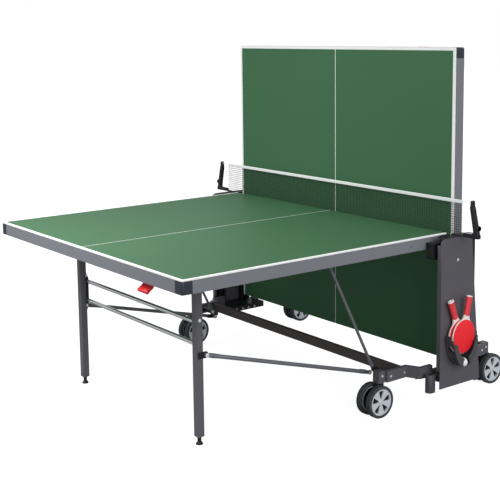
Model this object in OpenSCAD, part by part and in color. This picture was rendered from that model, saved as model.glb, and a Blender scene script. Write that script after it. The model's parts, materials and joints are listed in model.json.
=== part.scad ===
// Folding table-tennis table on a wheeled undercarriage.
// The half on the -Y side lies flat, ready for play. The half on the +Y side stands upright.
// Each half runs on a pin that slides down two upright guides while a diagonal strut swings it up.

/* [Table top] */
// Width of the playing surface
table_w = 1525; // [1250:5:1850]
// Length of one half
half_l = 1370; // [1100:5:1650]
// Height of the playing surface
play_h = 760; // [720:1:920]
// Thickness of the playing board
deck_t = 6; // [4:0.5:8]
// Depth of the frame profile under the board
apron_h = 50; // [46:1:60]
// Width of the frame profile
apron_w = 25; // [20:1:30]
// Wall of the frame profile
apron_wall = 1.5; // [1:0.1:3]
// Length of each leg of a corner cap
cap_l = 46; // [40:1:60]
// Gap from the net plane to the edge of each half
seam = 3; // [2:0.5:6]
// Depth of the cross members
member_h = 20; // [15:1:22]
// Width of the cross members
member_w = 40; // [30:1:50]

/* [Folding] */
// Distance from the net plane to the slide pin and its guide
hinge_s = 74; // [70:1:80]
// Depth of the slide pin and strut pivot below the playing surface
pin_d = 40; // [36:1:42]
// Radius of the slide pin
pin_r = 6; // [5:0.5:8]
// Height of the lower edge of an upright half
fold_clear = 182; // [175:1:200]
// Running clearance of every pin in its bore
pin_gap = 0.05; // [0.02:0.01:0.1]

/* [Legs] */
// Side of the square leg tube
leg_w = 30; // [25:1:32]
// Wall of the leg tube
leg_wall = 1.5; // [1:0.1:3]
// Distance from the end of the table to the leg pivot
leg_inset = 265; // [240:1:300]
// Depth of the leg pivot below the playing surface
leg_d = 62; // [60:1:66]
// Height of the levelling foot below the tube
foot_h = 33; // [25:1:40]
// Radius of the foot's disc
foot_r = 14.5; // [12:0.5:18]
// Radius of the chrome crossbars
crossbar_r = 9; // [5:0.5:10]
// Height of the upper crossbar
crossbar_z = 493; // [440:1:520]
// Distance between the two crossbars
crossbar_pitch = 90; // [60:1:120]

/* [Struts] */
// Distance from the net plane to the lower strut pivot
strut_y = 288; // [280:1:300]
// Height of the lower strut pivot
strut_z = 173; // [168:1:185]
// Radius of the diagonal strut tube
strut_r = 6.5; // [5:0.5:9]
// Radius of the leg strut tube
leg_strut_r = 8.5; // [6:0.5:8.5]
// Radius of the bolts in the struts and legs
bolt_r = 4; // [3:0.5:5]

/* [Undercarriage] */
// Height of the cross tubes
tube_h = 40; // [30:1:50]
// Depth of the cross tubes
tube_d = 25; // [20:1:30]
// Distance from the net plane to the inner face of a cross tube
tube_y = 198; // [190:1:210]
// Height of the side arms
arm_h = 50; // [40:1:60]
// Thickness of the side arms
arm_t = 20; // [15:1:24]
// Side of the castor housing
housing_w = 38; // [34:1:44]
// Height of the castor housing
housing_h = 52; // [48:1:75]

/* [Castors] */
// Radius of the wheels
wheel_r = 70; // [60:1:70]
// Width of one wheel
wheel_w = 26; // [20:1:28]
// Gap between the two wheels of a castor
wheel_gap = 32; // [28:1:36]
// Thickness of the tyre
tyre_t = 13; // [8:1:15]
// Trail of the axle behind the stem
trail = 25; // [15:1:30]
// Distance from the net plane to the castor stem
stem_y = 330; // [320:1:345]
// Number of spokes
spokes = 5; // [5:1:9]
// Radius of the stem
stem_r = 6; // [5:0.5:8]
// Radius of the axle
axle_r = 5; // [4:0.5:6]

/* [Side panels] */
// Thickness of the side panel
panel_t = 5; // [3:0.5:6]
// Half width of the panel at its foot
panel_half = 120; // [112:1:140]
// Height of the panel's lower edge
panel_low = 104; // [95:1:110]
// Depth of the rim that stiffens the panel
panel_rim = 18; // [12:1:20]

/* [Net] */
// Height of the net above the playing surface
net_h = 152.5; // [140:0.5:160]
// Overhang of the net posts' tops beyond the table edge
net_over = 139.5; // [125:0.5:152.5]
// Gap between the end of the net and the top of its post
net_gap = 58; // [20:1:80]
// How far a post leans out towards its foot
post_lean = 30; // [0:1:34]
// Width of the white tape
tape_h = 15; // [12:1:18]

/* [Bats and balls] */
// Width of a bat's blade
blade_w = 136; // [130:1:150]
// Length of a bat's blade
blade_l = 150; // [146:1:160]
// Thickness of the blade
blade_t = 6; // [5:0.5:7]
// Thickness of one rubber sheet
rubber_t = 3.5; // [2:0.5:4]
// Diameter of the ball
ball_d = 40; // [38:1:40]

/* [Hidden] */
$fn = 48;

// Places across the table, all measured out from the edge of the playing surface.
board_x = table_w / 2;
leg_x = board_x - 287.5;
strut_x = board_x - 156.5;
castor_x = board_x - 75.5;
carriage_x = board_x + 5.5;
guide_x = board_x + 48.5;
panel_x = board_x + 72.5;
post_x = board_x + net_over;
reach_x = board_x + 177.5;

// Heights of the slide pin when a half lies flat and when it stands upright.
pin_high = play_h - pin_d;
pin_low = fold_clear + hinge_s;
fold_gap = hinge_s - pin_d;
lift = pin_high - pin_low;

// The strut's upper pivot lies where the strut has one length in both positions.
strut_s = (pow(strut_y, 2) + pow(pin_high - strut_z, 2) - pow(hinge_s - strut_y, 2)
    - pow(fold_clear - strut_z, 2)) / (2 * (strut_y + fold_clear - strut_z));
strut_l = norm([strut_s - strut_y, pin_high - strut_z]);
strut_flat = atan2(strut_z - pin_high, strut_y - strut_s);
strut_up = atan2(strut_z - fold_clear - strut_s, strut_y - hinge_s);

// The leg keeps upright as it folds, so it only shifts; its strut turns with the half.
leg_pivot_s = half_l - leg_inset;
leg_pivot_z = play_h - leg_d;
leg_s = leg_pivot_s + 9;
leg_shift = [0, fold_gap + leg_d - leg_pivot_s, fold_clear + leg_pivot_s - leg_pivot_z];
link_y = strut_y - 2;
link_z = strut_z - 22;
link_s = leg_s - leg_w / 2 - 2 * bolt_r - 2;
link_x = leg_x + leg_w / 2 + 7.5;
link_rise = (pow(link_s - link_y, 2) - pow(link_s + leg_shift[1] - link_y, 2)
    - pow(leg_shift[2], 2)) / (2 * leg_shift[2]);
link_l = norm([link_s - link_y, link_rise]);
link_flat = atan2(-link_rise, link_y - link_s);
link_up = atan2(-link_rise - leg_shift[2], link_y - link_s - leg_shift[1]);
eye_r = 10;

// Undercarriage heights.
housing_z = 2 * wheel_r + 3;
arm_z = housing_z + 1;
plate_t = 6;
plate_y = 125;
sleeve_r = 18;
sleeve_wall = 3;
guide_w = 44;
guide_d = panel_x - guide_x;
guide_wall = 3;
bridge_t = 4;
panel_high = play_h - 5;
guide_top = panel_high - 2;
net_base = guide_top + bridge_t;

// Castor axle centre, and where the model's box is centred along the table.
axle_y = stem_y + trail;
net_y = (half_l - axle_y - wheel_r) / 2;

// ---- placing ----

// Shifts a piece drawn about the net to the row frame, whose origin is the middle of the floor area.
module row() translate([0, net_y, 0]) children();

// Each half is drawn lying flat on the +Y side. Half a is its mirror image.
module half_a() row() mirror([0, 1, 0]) children();

// Half b stands upright: its pin slides down the guide and it turns about that pin.
module half_b() row() translate([0, hinge_s, pin_low]) rotate([90, 0, 0])
    translate([0, -hinge_s, -pin_high]) children();

// The legs of half b keep upright and only shift.
module leg_b() row() translate(leg_shift) children();

module both_sides() {
    children();
    mirror([1, 0, 0]) children();
}

module both_ends() {
    children();
    mirror([0, 1, 0]) children();
}

// A rod from p to q.
module rod(p, q, r) {
    d = q - p;
    translate(p) rotate([0, acos(d[2] / norm(d)), atan2(d[1], d[0])]) cylinder(h = norm(d), r = r);
}

// A rod along X.
module rod_x(x, y, z, l, r) translate([x, y, z]) rotate([0, 90, 0]) cylinder(h = l, r = r);

// A block given by its low and high corners.
module block(low, high) translate(low) cube(high - low);

// A rectangular tube given by its low and high corners, open along axis 0 or 1 or 2.
module tube(low, high, wall, axis) {
    step = [for (i = [0:2]) i == axis ? -1 : wall];
    difference() {
        block(low, high);
        block(low + step, high - step);
    }
}

// An outline in the Y-Z plane given a thickness along X from x.
module along_x(x, t) translate([x, 0, 0]) rotate([90, 0, 90]) linear_extrude(t) children();

// ---- table half, drawn flat ----

module deck() color("#4f7a5a") {
    r = 5;
    translate([0, 0, play_h - deck_t]) linear_extrude(deck_t) {
        translate([-board_x, seam + r]) square([table_w, half_l - seam - 2 * r]);
        translate([r - board_x, seam]) square([table_w - 2 * r, half_l - seam]);
        for (x = [-1, 1], y = [seam + r, half_l - r]) translate([x * (board_x - r), y]) circle(r);
    }
}

module apron() color("#7b7d84") {
    top = play_h - deck_t;
    low = top - apron_h;
    both_sides() tube([board_x - apron_w, seam + cap_l, low], [board_x, half_l - cap_l, top],
        apron_wall, 1);
    for (y = [seam, half_l - apron_w])
        tube([cap_l - board_x, y, low], [board_x - cap_l, y + apron_w, top], apron_wall, 0);
}

module corner_cap() {
    r = 10;
    translate([board_x, half_l, play_h - deck_t - apron_h]) linear_extrude(apron_h) {
        translate([-cap_l, -apron_w]) square([cap_l - r, apron_w]);
        translate([-apron_w, -cap_l]) square([apron_w, cap_l - r]);
        translate([-apron_w, -apron_w]) square([apron_w - r, apron_w - r]);
        translate([-r, -r]) circle(r);
    }
}

module corner_caps() color("#4a525c") both_sides() {
    corner_cap();
    translate([0, half_l + seam, 0]) mirror([0, 1, 0]) corner_cap();
}

module cross_members() color("#55565b") {
    top = play_h - deck_t;
    x = board_x - apron_w;
    for (s = [hinge_s + 60, strut_s, leg_pivot_s])
        tube([-x, s - member_w / 2, top - member_h], [x, s + member_w / 2, top], apron_wall, 0);
}

// A pair of ears that hang from a cross member and hold a pivot bolt between them.
module ears(x, s, gap, z) {
    t = 3;
    top = play_h - deck_t - member_h;
    difference() {
        union() {
            block([x - gap / 2 - t, s - 14, top - t], [x + gap / 2 + t, s + 14, top]);
            for (side = [-1, 1]) translate([x + side * (gap + t) / 2, 0, 0]) {
                block([-t / 2, s - 14, z], [t / 2, s + 14, top]);
                rod_x(-t / 2, s, z, t, 14);
            }
        }
        rod_x(x - gap / 2 - 2 * t, s, z, gap + 4 * t, bolt_r + pin_gap);
    }
}

module brackets() color("#35363a") both_sides() {
    ears(leg_x, leg_pivot_s, leg_w + 2, leg_pivot_z);
    ears(strut_x, strut_s, 9, pin_high);
}

// A bolt with a domed head and a nut, centred on x.
module bolt(x, s, z, grip) {
    head = 4;
    rod_x(x - grip / 2, s, z, grip, bolt_r);
    rod_x(x + grip / 2, s, z, head, 1.8 * bolt_r);
    rod_x(x - grip / 2 - head, s, z, head, 1.8 * bolt_r);
}

module pivot_bolts() color("#c9ccd0") both_sides() {
    bolt(leg_x, leg_pivot_s, leg_pivot_z, leg_w + 8);
    bolt(strut_x, strut_s, pin_high, 15);
    rod_x(board_x, hinge_s, pin_high, 3.5, 2.2 * pin_r);
    rod_x(board_x + 3.5, hinge_s, pin_high, 35, pin_r);
}

// The carriage takes the slide pin and runs in the guide on a shoe.
module carriage() {
    low = pin_high - 55;
    top = pin_high + 15;
    w = guide_x - carriage_x - 3;
    difference() {
        union() {
            block([carriage_x, hinge_s - 30, low + 12], [carriage_x + w, hinge_s + 62, top]);
            block([carriage_x, hinge_s - 30, low], [carriage_x + w, hinge_s + 50, low + 12]);
            rod_x(carriage_x, hinge_s + 50, low + 12, w, 12);
            block([carriage_x + w, hinge_s - 8, low + 6], [guide_x + 5, hinge_s + 8, top - 4]);
            block([guide_x + 5, hinge_s - 17, low + 6], [guide_x + 19, hinge_s + 17, top - 4]);
        }
        rod_x(carriage_x - 1, hinge_s, pin_high, 36.6, pin_r + pin_gap);
    }
}

module carriages() color("#1f2023") both_sides() carriage();

module legs() color("#66666b") both_sides() difference() {
    tube([leg_x - leg_w / 2, leg_s - leg_w / 2, foot_h], [leg_x + leg_w / 2, leg_s + leg_w / 2,
        leg_pivot_z + 14], leg_wall, 2);
    rod_x(leg_x - leg_w, leg_pivot_s, leg_pivot_z, 2 * leg_w, bolt_r + pin_gap);
}

gusset_w = 20;
bar_y = leg_s - 14;

module crossbars() color("#e4e6e8") for (z = [crossbar_z, crossbar_z - crossbar_pitch]) {
    x = leg_x - leg_w / 2 - gusset_w;
    rod_x(-x, bar_y, z, 2 * x, crossbar_r);
}

// Gusset plates that carry the crossbars, ears for the leg struts, and their bolts.
module leg_hardware() color("#3a3b3f") both_sides() {
    x = leg_x - leg_w / 2;
    top = crossbar_z + 17;
    low = crossbar_z - crossbar_pitch - 17;
    t = 4;
    translate([0, bar_y + t / 2, 0]) rotate([90, 0, 0]) linear_extrude(t)
        polygon([[x, top + 20], [x - gusset_w, top], [x - gusset_w, low], [x, low - 32]]);
    side = leg_x + leg_w / 2;
    z = link_z + link_rise;
    difference() {
        union() {
            block([side, link_s, z - 14], [side + t, leg_s + leg_w / 2 - 4, z + 14]);
            rod_x(side, link_s, z, t, 14);
        }
        rod_x(side - 1, link_s, z, t + 2, bolt_r);
    }
    rod_x(side - 4, link_s, z, 4, 1.8 * bolt_r);
    rod_x(side, link_s, z, t + 9, bolt_r);
    rod_x(side + t + 7.5, link_s, z, 4, 1.8 * bolt_r);
    rod_x(side, leg_s, crossbar_z + 18, 3, 5);
}

module foot() rotate_extrude() polygon([[0, 0], [foot_r, 0], [foot_r, 4], [foot_r - 2, 7],
    [8, 12], [8, foot_h - 4], [leg_w / 2 - 3, foot_h - 3], [leg_w / 2 - 3, foot_h], [0, foot_h]]);

module feet() color("#18181a") both_sides() translate([leg_x, leg_s, 0]) foot();

// Leg strut, drawn from its upper eye along +Y.
module leg_strut() difference() {
    x0 = link_x;
    x1 = strut_x - 22;
    t = 5;
    union() {
        rod_x(x0 - t / 2, 0, 0, t, eye_r);
        block([x0 - t / 2, 0, -eye_r + 2], [x0 + t / 2, 40, eye_r - 2]);
        rod([x0 + 4, 30, 0], [x1, link_l - 30, 0], leg_strut_r);
        block([x1 - t / 2, link_l - 40, -eye_r + 2], [x1 + t / 2, link_l, eye_r - 2]);
        rod_x(x1 - t / 2, link_l, 0, t, eye_r);
    }
    rod_x(x0 - t, 0, 0, 2 * t, bolt_r + pin_gap);
    rod_x(x1 - t, link_l, 0, 2 * t, bolt_r + pin_gap);
}

module leg_struts(turn) color("#505257") both_sides()
    translate([0, link_s, link_z + link_rise]) rotate([turn, 0, 0]) leg_strut();

// Diagonal strut, drawn from its upper eye along +Y.
module strut() {
    t = 6;
    difference() {
        union() {
            rod_x(strut_x - t / 2, 0, 0, t, eye_r);
            block([strut_x - t / 2, 0, -eye_r + 2], [strut_x + t / 2, 42, eye_r - 2]);
            rod([strut_x, 32, 0], [strut_x, strut_l - 32, 0], strut_r);
            block([strut_x - t / 2, strut_l - 42, -eye_r + 2], [strut_x + t / 2, strut_l, eye_r - 2]);
            rod_x(strut_x - t / 2, strut_l, 0, t, eye_r);
        }
        rod_x(strut_x - t, 0, 0, 2 * t, bolt_r + pin_gap);
    }
}

module struts(s, z, turn) color("#6d6f74") both_sides()
    translate([0, s, z]) rotate([turn, 0, 0]) strut();

// Red release lever under the end rail: a tongue with a cranked root that turns on two trunnions.
handle_s = half_l - 36;
handle_w = 66;
handle_d = deck_t + apron_h - 6;

module release_handle() color("#e0242a") {
    z = play_h - handle_d;
    x = leg_x - 22;
    along_x(x, handle_w) {
        translate([handle_s, z]) circle(8);
        polygon([[handle_s - 7, z + 4], [handle_s + 5, z + 4], [handle_s + 5, z - 12],
            [handle_s + 14, z - 24], [handle_s + 33, z - 38], [handle_s + 27, z - 46],
            [handle_s + 4, z - 30], [handle_s - 7, z - 10]]);
        translate([handle_s + 29, z - 41]) circle(6);
    }
    rod_x(x - 5, handle_s, z, handle_w + 10, 4);
}

// ---- castors ----

wheel_face = wheel_gap / 2 + wheel_w;
hub_r = 12;
rim_r = wheel_r - tyre_t;

// One castor, drawn about its stem with the axle trailing towards -Y.
module castor_fork() color("#232427") {
    difference() {
        union() {
            along_x(-12, 24) {
                translate([-trail, wheel_r]) circle(22);
                polygon([[-trail - 20, wheel_r + 8], [-16, 2 * wheel_r], [16, 2 * wheel_r],
                    [16, 2 * wheel_r - 14], [-trail + 21, wheel_r - 6]]);
            }
            translate([0, 0, 2 * wheel_r - 1]) cylinder(h = 3.5, r = 15);
            translate([0, 0, 2 * wheel_r]) cylinder(h = 45, r = stem_r);
        }
        rod_x(-20, -trail, wheel_r, 40, axle_r + pin_gap);
    }
}

// Wheel centre with wedge-shaped windows between the spokes, a hub and a closed cap.
module rim() difference() {
    union() {
        rotate_extrude() polygon([[axle_r, 0], [hub_r, 0], [hub_r, wheel_w - 9], [rim_r - 6, wheel_w - 9],
            [rim_r - 6, 2], [rim_r, 2], [rim_r, wheel_w - 2], [rim_r - 5, wheel_w - 2],
            [hub_r + 2, wheel_w - 3], [hub_r - 2, wheel_w - 0.5], [0, wheel_w],
            [0, wheel_w - 5], [axle_r, wheel_w - 5]]);
    }
    for (i = [0:spokes - 1]) rotate([0, 0, (i + 0.5) * 360 / spokes]) translate([0, 0, wheel_w / 2])
        linear_extrude(wheel_w) polygon([[hub_r + 1, 2], [rim_r - 12, 13], [rim_r - 7, 9], [rim_r - 7, -9],
            [rim_r - 12, -13], [hub_r + 1, -2]]);
}

module castor_rims() color("#c5ccd4") {
    translate([0, -trail, wheel_r]) {
        both_sides() translate([wheel_gap / 2, 0, 0]) rotate([0, 90, 0]) rim();
        rod_x(5 - wheel_face, 0, 0, 2 * (wheel_face - 5), axle_r);
    }
}

module tyre() rotate_extrude() polygon([[rim_r, 0], [wheel_r - 3, 0], [wheel_r - 0.8, 1.2],
    [wheel_r, 3.5], [wheel_r, wheel_w - 3.5], [wheel_r - 0.8, wheel_w - 1.2], [wheel_r - 3, wheel_w],
    [rim_r, wheel_w]]);

module castor_tyres() color("#3a3d42") translate([0, -trail, wheel_r]) both_sides()
    translate([wheel_gap / 2, 0, 0]) rotate([0, 90, 0]) tyre();

// Castor i: 1 near front, 2 near back, 3 far front, 4 far back.
module at_castor(i) row() translate([i < 3 ? castor_x : -castor_x, i % 2 == 1 ? -stem_y : stem_y, 0])
    mirror([0, 1 - i % 2, 0]) children();

// ---- undercarriage ----

module cross_tubes() color("#3f3a3b") row() both_ends() {
    x = castor_x - arm_t / 2 + 10;
    z = arm_z + 5;
    tube([-x, tube_y, z], [x, tube_y + tube_d, z + tube_h], 2, 0);
}

// Each arm runs from a castor housing towards the net, then out and onto the foot plate.
module side_arms() color("#55545b") row() both_ends() both_sides() translate([0, 0, arm_z])
    linear_extrude(arm_h) {
        a = castor_x + 10;
        b = a + arm_t;
        kink = tube_y - 8;
        c = board_x + 13;
        polygon([[a, stem_y - housing_w / 2], [a, kink - 6], [c - arm_t, kink - 34], [c - arm_t, plate_y - 28],
            [c, plate_y - 28], [c, kink - 20], [b, kink + 8], [b, stem_y - housing_w / 2]]);
    }

module castor_housings() color("#4b4b50") row() both_ends() both_sides()
    translate([castor_x, stem_y, housing_z]) difference() {
        w = housing_w / 2;
        union() {
            block([-w, -w, 0], [w, w, housing_h - 8]);
            block([4 - w, -w, 0], [w, w, housing_h]);
            translate([4 - w, w, housing_h - 8]) rotate([90, 0, 0]) cylinder(h = 2 * w, r = 4);
        }
        translate([0, 0, -1]) cylinder(h = housing_h - 6, r = stem_r + pin_gap);
    }

// Foot plates that carry the guides, and bridges that tie the guides at the top.
module upright_plates() color("#2c2c2f") row() both_sides() {
    x = castor_x + 14;
    block([x, -plate_y, arm_z - plate_t], [panel_x, plate_y, arm_z]);
    block([x, -plate_y, arm_z - plate_t - 24], [x + 3, plate_y, arm_z - plate_t]);
    block([guide_x - 20, -hinge_s - guide_w / 2, guide_top],
        [panel_x, hinge_s + guide_w / 2, net_base]);
}

// D-shaped sleeves that close the ends of the foot plates.
module foot_sleeves() color("#4b4b50") row() both_sides() both_ends()
    translate([board_x + 39.5, plate_y + sleeve_r + 1, arm_z - 56]) linear_extrude(80) difference() {
        in = sleeve_r - sleeve_wall;
        union() {
            circle(sleeve_r);
            translate([-sleeve_r, -sleeve_r]) square([2 * sleeve_r, sleeve_r]);
        }
        circle(in);
        translate([-in, -in]) square([2 * in, in]);
    }

// Upright C-channels with their slots facing the table.
module guide_rails() color("#2c2c2f") row() both_sides() both_ends()
    translate([guide_x, hinge_s, arm_z]) linear_extrude(guide_top - arm_z) difference() {
        translate([0, -guide_w / 2]) square([guide_d, guide_w]);
        translate([guide_wall, guide_wall - guide_w / 2])
            square([guide_d - 2 * guide_wall, guide_w - 2 * guide_wall]);
        translate([-1, -10]) square([guide_wall + 2, 20]);
    }

// Side panel: a flat moulding with a rim along its edges.
panel_right = 131;
panel_right_top = 68;
panel_curve = 26;

module panel_outline() {
    polygon([[-panel_half, panel_low], [panel_right, panel_low],
        [panel_right_top + 4, panel_high - panel_curve], [-panel_half, panel_high - panel_curve]]);
    polygon([[panel_curve - panel_half, panel_high - panel_curve - 1], [panel_curve - panel_half, panel_high],
        [panel_right_top - panel_curve + 4, panel_high],
        [panel_right_top - panel_curve + 4, panel_high - panel_curve - 1]]);
    translate([panel_curve - panel_half, panel_high - panel_curve]) circle(panel_curve);
    translate([panel_right_top - panel_curve + 4, panel_high - panel_curve]) circle(panel_curve);
}

module side_panels() color("#58575c") row() both_sides() {
    along_x(panel_x, panel_t) panel_outline();
    block([panel_x - panel_rim, -panel_half, arm_z + 40], [panel_x, 3 - panel_half, panel_high - panel_curve]);
}

module strut_stubs() color("#18181a") row() both_sides() both_ends() {
    from = strut_x + 4;
    to = castor_x + 10;
    rod_x(from, strut_y, strut_z, to - from, 12);
}

module panel_screws() color("#d8dadc") row() both_sides() {
    for (s = [-1, 1]) {
        rod_x(castor_x + 30, s * (stem_y - 40), arm_z + arm_h / 2, 3, 5);
        rod_x(castor_x + housing_w / 2, s * stem_y, housing_z + 0.6 * housing_h, 2.5, 5);
        rod_x(castor_x + 30, s * (tube_y + tube_d / 2), arm_z + arm_h / 2, 3, 4);
        rod_x(castor_x + 12, s * 60, arm_z - plate_t - 12, 2, 5);
        rod_x(castor_x + 12, s * 20, arm_z - plate_t - 12, 2, 5);
    }
    rod_x(panel_x + panel_t, -18, panel_high - 98, 1.5, 6);
}

// ---- net ----

// Drawn in the X-Z plane: an arm on the guides' bridge and a leaning post with a hook at its tip.
module net_post_outline() {
    foot = net_base;
    top = play_h + net_h;
    low = foot + 18;
    polygon([[guide_x - 20, foot], [reach_x, foot], [reach_x, low], [post_x + post_lean + 5, low],
        [post_x + 9, top - 24], [post_x + 6, top - 20], [post_x + 4, top + 4], [post_x - 6, top + 4],
        [post_x - 8, top - 20], [post_x - 11, top - 24], [post_x + post_lean - 20, low + 8],
        [post_x + post_lean - 30, low], [net_end + 18, low], [net_end + 6, foot + 5],
        [guide_x - 20, foot + 5]]);
}

module net_posts() color("#1b1b1d") row() both_sides() translate([0, 9, 0]) rotate([90, 0, 0])
    linear_extrude(18) net_post_outline();

net_end = post_x - net_gap;

module net_mesh() color("#26302b") row()
    block([-net_end, -0.6, play_h + 3], [net_end, 0.6, play_h + net_h - tape_h]);

module net_tape() color("#f4f6f6") row()
    block([-net_end, -1.6, play_h + net_h - tape_h], [net_end, 1.6, play_h + net_h]);

// Clamp knob on a short screw, on the outer face of the post.
knob_z = play_h + 42;
knob_x = post_x + post_lean + 5.4
    - (knob_z - net_base - 23) * (post_lean - 4) / (play_h + net_h - net_base - 42);

module net_knob() color("#1b1b1d") {
    rod_x(knob_x, 0, knob_z, 2, 5);
    rod_x(knob_x + 2, 0, knob_z, reach_x - knob_x - 2, 11);
}

// ---- bats, ball and their holder ----

holder_x = panel_x + panel_t;
holder_y = -18;
holder_z = 338;
holder_r = blade_w / 2 + 8;
holder_d = 56;
holder_long = 1.86;
holder_drop = 32;
holder_steps = [[3, 23, 8, 0], [26, 11, 6, 0], [37, 11, 3, holder_drop / 2], [48, 6, 0, holder_drop]];
ball_gap = 1.5;
ball_x = holder_x + 34;
ball_y = holder_y + 3;
ball_z = holder_z - holder_long * holder_r + ball_d / 2 - 2;
pocket_x = holder_x + 29;
pocket_z = [holder_z - 96, holder_z - 60];
pocket_r = ball_d / 2 - 1;

// Lower half of an ellipse, wider than a bat. It grows away from its left edge, and its top can drop.
module holder_outline(inset, grow = 0, drop = 0) intersection() {
    r = holder_r - inset + grow;
    deep = holder_long * holder_r - inset + 0.3 * grow;
    translate([holder_y + grow, holder_z]) scale([1, deep / r]) circle(r, $fn = 64);
    translate([holder_y - 2 * holder_r, holder_z - 3 * holder_r - drop])
        square([4 * holder_r, 3 * holder_r]);
}

// Cradle for two bats, stepped down towards the right, with a lip in front. The ball sits in a notch
// of the keel, and the arm on the left has a second opening for a spare one.
module bat_holder() color("#4c4b50") row() difference() {
    union() {
        along_x(holder_x, 3) holder_outline(0, 8);
        for (s = holder_steps) along_x(holder_x + s[0], s[1]) difference() {
            holder_outline(0, s[2], s[3]);
            holder_outline(5);
        }
        along_x(holder_x + holder_d - 4, 4) difference() {
            holder_outline(0, 0, holder_drop);
            translate([0, 26]) holder_outline(14);
        }
    }
    rod_x(ball_x, ball_y, ball_z, holder_d, ball_d / 2 + ball_gap);
    translate([ball_x, ball_y, ball_z]) sphere(r = ball_d / 2 + ball_gap);
    block([ball_x, ball_y - 15, ball_z], [ball_x + holder_d, ball_y + 15, ball_z + 45]);
    for (z = pocket_z) translate([pocket_x, holder_y - holder_r - 1, z])
        rotate([-90, 0, 0]) cylinder(h = 50, r = pocket_r);
    block([pocket_x - pocket_r, holder_y - holder_r - 1, pocket_z[0]],
        [pocket_x + pocket_r, holder_y - holder_r + 49, pocket_z[1]]);
}

// A bat drawn in the Y-Z plane: blade centre at the origin, handle up, thickness centred on X.
module blade() {
    along_x(-blade_t / 2, blade_t) {
        scale([1, blade_l / blade_w]) circle(blade_w / 2, $fn = 64);
        translate([-14, 40]) square([28, 60]);
    }
    for (side = [-1, 1]) along_x(side > 0 ? blade_t / 2 : -blade_t / 2 - 8, 8)
        translate([-15, 88]) square([30, 84]);
}

module rubbers() for (side = [-1, 1])
    along_x(side > 0 ? blade_t / 2 : -blade_t / 2 - rubber_t, rubber_t)
        scale([1, blade_l / blade_w]) circle(blade_w / 2 - 2.5, $fn = 64);

bat_front_x = panel_x + panel_t + 36;
bat_back_x = panel_x + panel_t + 17;
bat_z = holder_z - 8;

module at_bat(x, z, tilt) row() translate([x, holder_y, z]) rotate([tilt, 0, 0]) children();
module front_place() at_bat(bat_front_x, bat_z, -12) children();
module back_place() at_bat(bat_back_x, bat_z - 6, 20) children();

module ball() color("#f4f4f2") row() translate([ball_x, ball_y, ball_z]) sphere(d = ball_d);

// ---- nodes ----

half_a() deck();  // deck_a
half_a() apron();  // apron_a
half_a() corner_caps();  // corner_caps_a
half_a() cross_members();  // cross_members_a
half_a() brackets();  // brackets_a
half_a() pivot_bolts();  // pivot_bolts_a
half_a() carriages();  // carriages_a
half_a() legs();  // legs_a
half_a() crossbars();  // crossbars_a
half_a() leg_hardware();  // leg_hardware_a
half_a() feet();  // feet_a
half_a() leg_struts(link_flat);  // leg_struts_a
half_a() struts(strut_s, pin_high, strut_flat);  // struts_a
half_a() release_handle();  // release_handle_a
half_b() deck();  // deck_b
half_b() apron();  // apron_b
half_b() corner_caps();  // corner_caps_b
half_b() cross_members();  // cross_members_b
half_b() brackets();  // brackets_b
half_b() pivot_bolts();  // pivot_bolts_b
row() translate([0, 0, -lift]) carriages();  // carriages_b
leg_b() legs();  // legs_b
leg_b() crossbars();  // crossbars_b
leg_b() leg_hardware();  // leg_hardware_b
leg_b() feet();  // feet_b
leg_b() leg_struts(link_up);  // leg_struts_b
row() struts(hinge_s, fold_clear + strut_s, strut_up);  // struts_b
half_b() release_handle();  // release_handle_b
at_castor(1) castor_fork();  // castor_fork_1
at_castor(1) castor_rims();  // castor_rims_1
at_castor(1) castor_tyres();  // castor_tyres_1
at_castor(2) castor_fork();  // castor_fork_2
at_castor(2) castor_rims();  // castor_rims_2
at_castor(2) castor_tyres();  // castor_tyres_2
at_castor(3) castor_fork();  // castor_fork_3
at_castor(3) castor_rims();  // castor_rims_3
at_castor(3) castor_tyres();  // castor_tyres_3
at_castor(4) castor_fork();  // castor_fork_4
at_castor(4) castor_rims();  // castor_rims_4
at_castor(4) castor_tyres();  // castor_tyres_4
cross_tubes();
side_arms();
castor_housings();
upright_plates();
foot_sleeves();
guide_rails();
side_panels();
strut_stubs();
net_posts();
net_mesh();
net_tape();
row() net_knob();  // net_knob_near
row() mirror([1, 0, 0]) net_knob();  // net_knob_far
bat_holder();
panel_screws();
front_place() color("#e8b9b4") blade();  // bat_front
front_place() color("#f02030") rubbers();  // bat_front_rubbers
back_place() color("#e8b9b4") blade();  // bat_back
back_place() color("#f02030") rubbers();  // bat_back_rubbers
ball();
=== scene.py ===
import json
import math

import bmesh
import bpy
from mathutils import Matrix, Vector


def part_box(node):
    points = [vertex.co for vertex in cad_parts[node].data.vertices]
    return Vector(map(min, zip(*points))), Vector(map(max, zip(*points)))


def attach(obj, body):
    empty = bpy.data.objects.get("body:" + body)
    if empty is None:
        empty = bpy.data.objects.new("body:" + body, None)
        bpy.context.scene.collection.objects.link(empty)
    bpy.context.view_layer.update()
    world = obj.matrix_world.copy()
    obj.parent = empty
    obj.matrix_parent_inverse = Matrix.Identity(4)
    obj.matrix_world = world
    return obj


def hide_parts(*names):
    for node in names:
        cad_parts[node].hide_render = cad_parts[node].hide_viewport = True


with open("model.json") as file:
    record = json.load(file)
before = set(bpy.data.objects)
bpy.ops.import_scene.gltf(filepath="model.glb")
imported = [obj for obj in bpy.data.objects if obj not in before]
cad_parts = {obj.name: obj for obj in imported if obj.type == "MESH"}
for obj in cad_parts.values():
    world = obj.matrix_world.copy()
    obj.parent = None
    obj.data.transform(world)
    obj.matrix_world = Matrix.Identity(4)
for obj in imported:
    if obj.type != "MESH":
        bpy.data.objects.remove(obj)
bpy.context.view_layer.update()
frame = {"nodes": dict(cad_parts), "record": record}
record = frame["record"]
scene = bpy.context.scene


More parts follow.
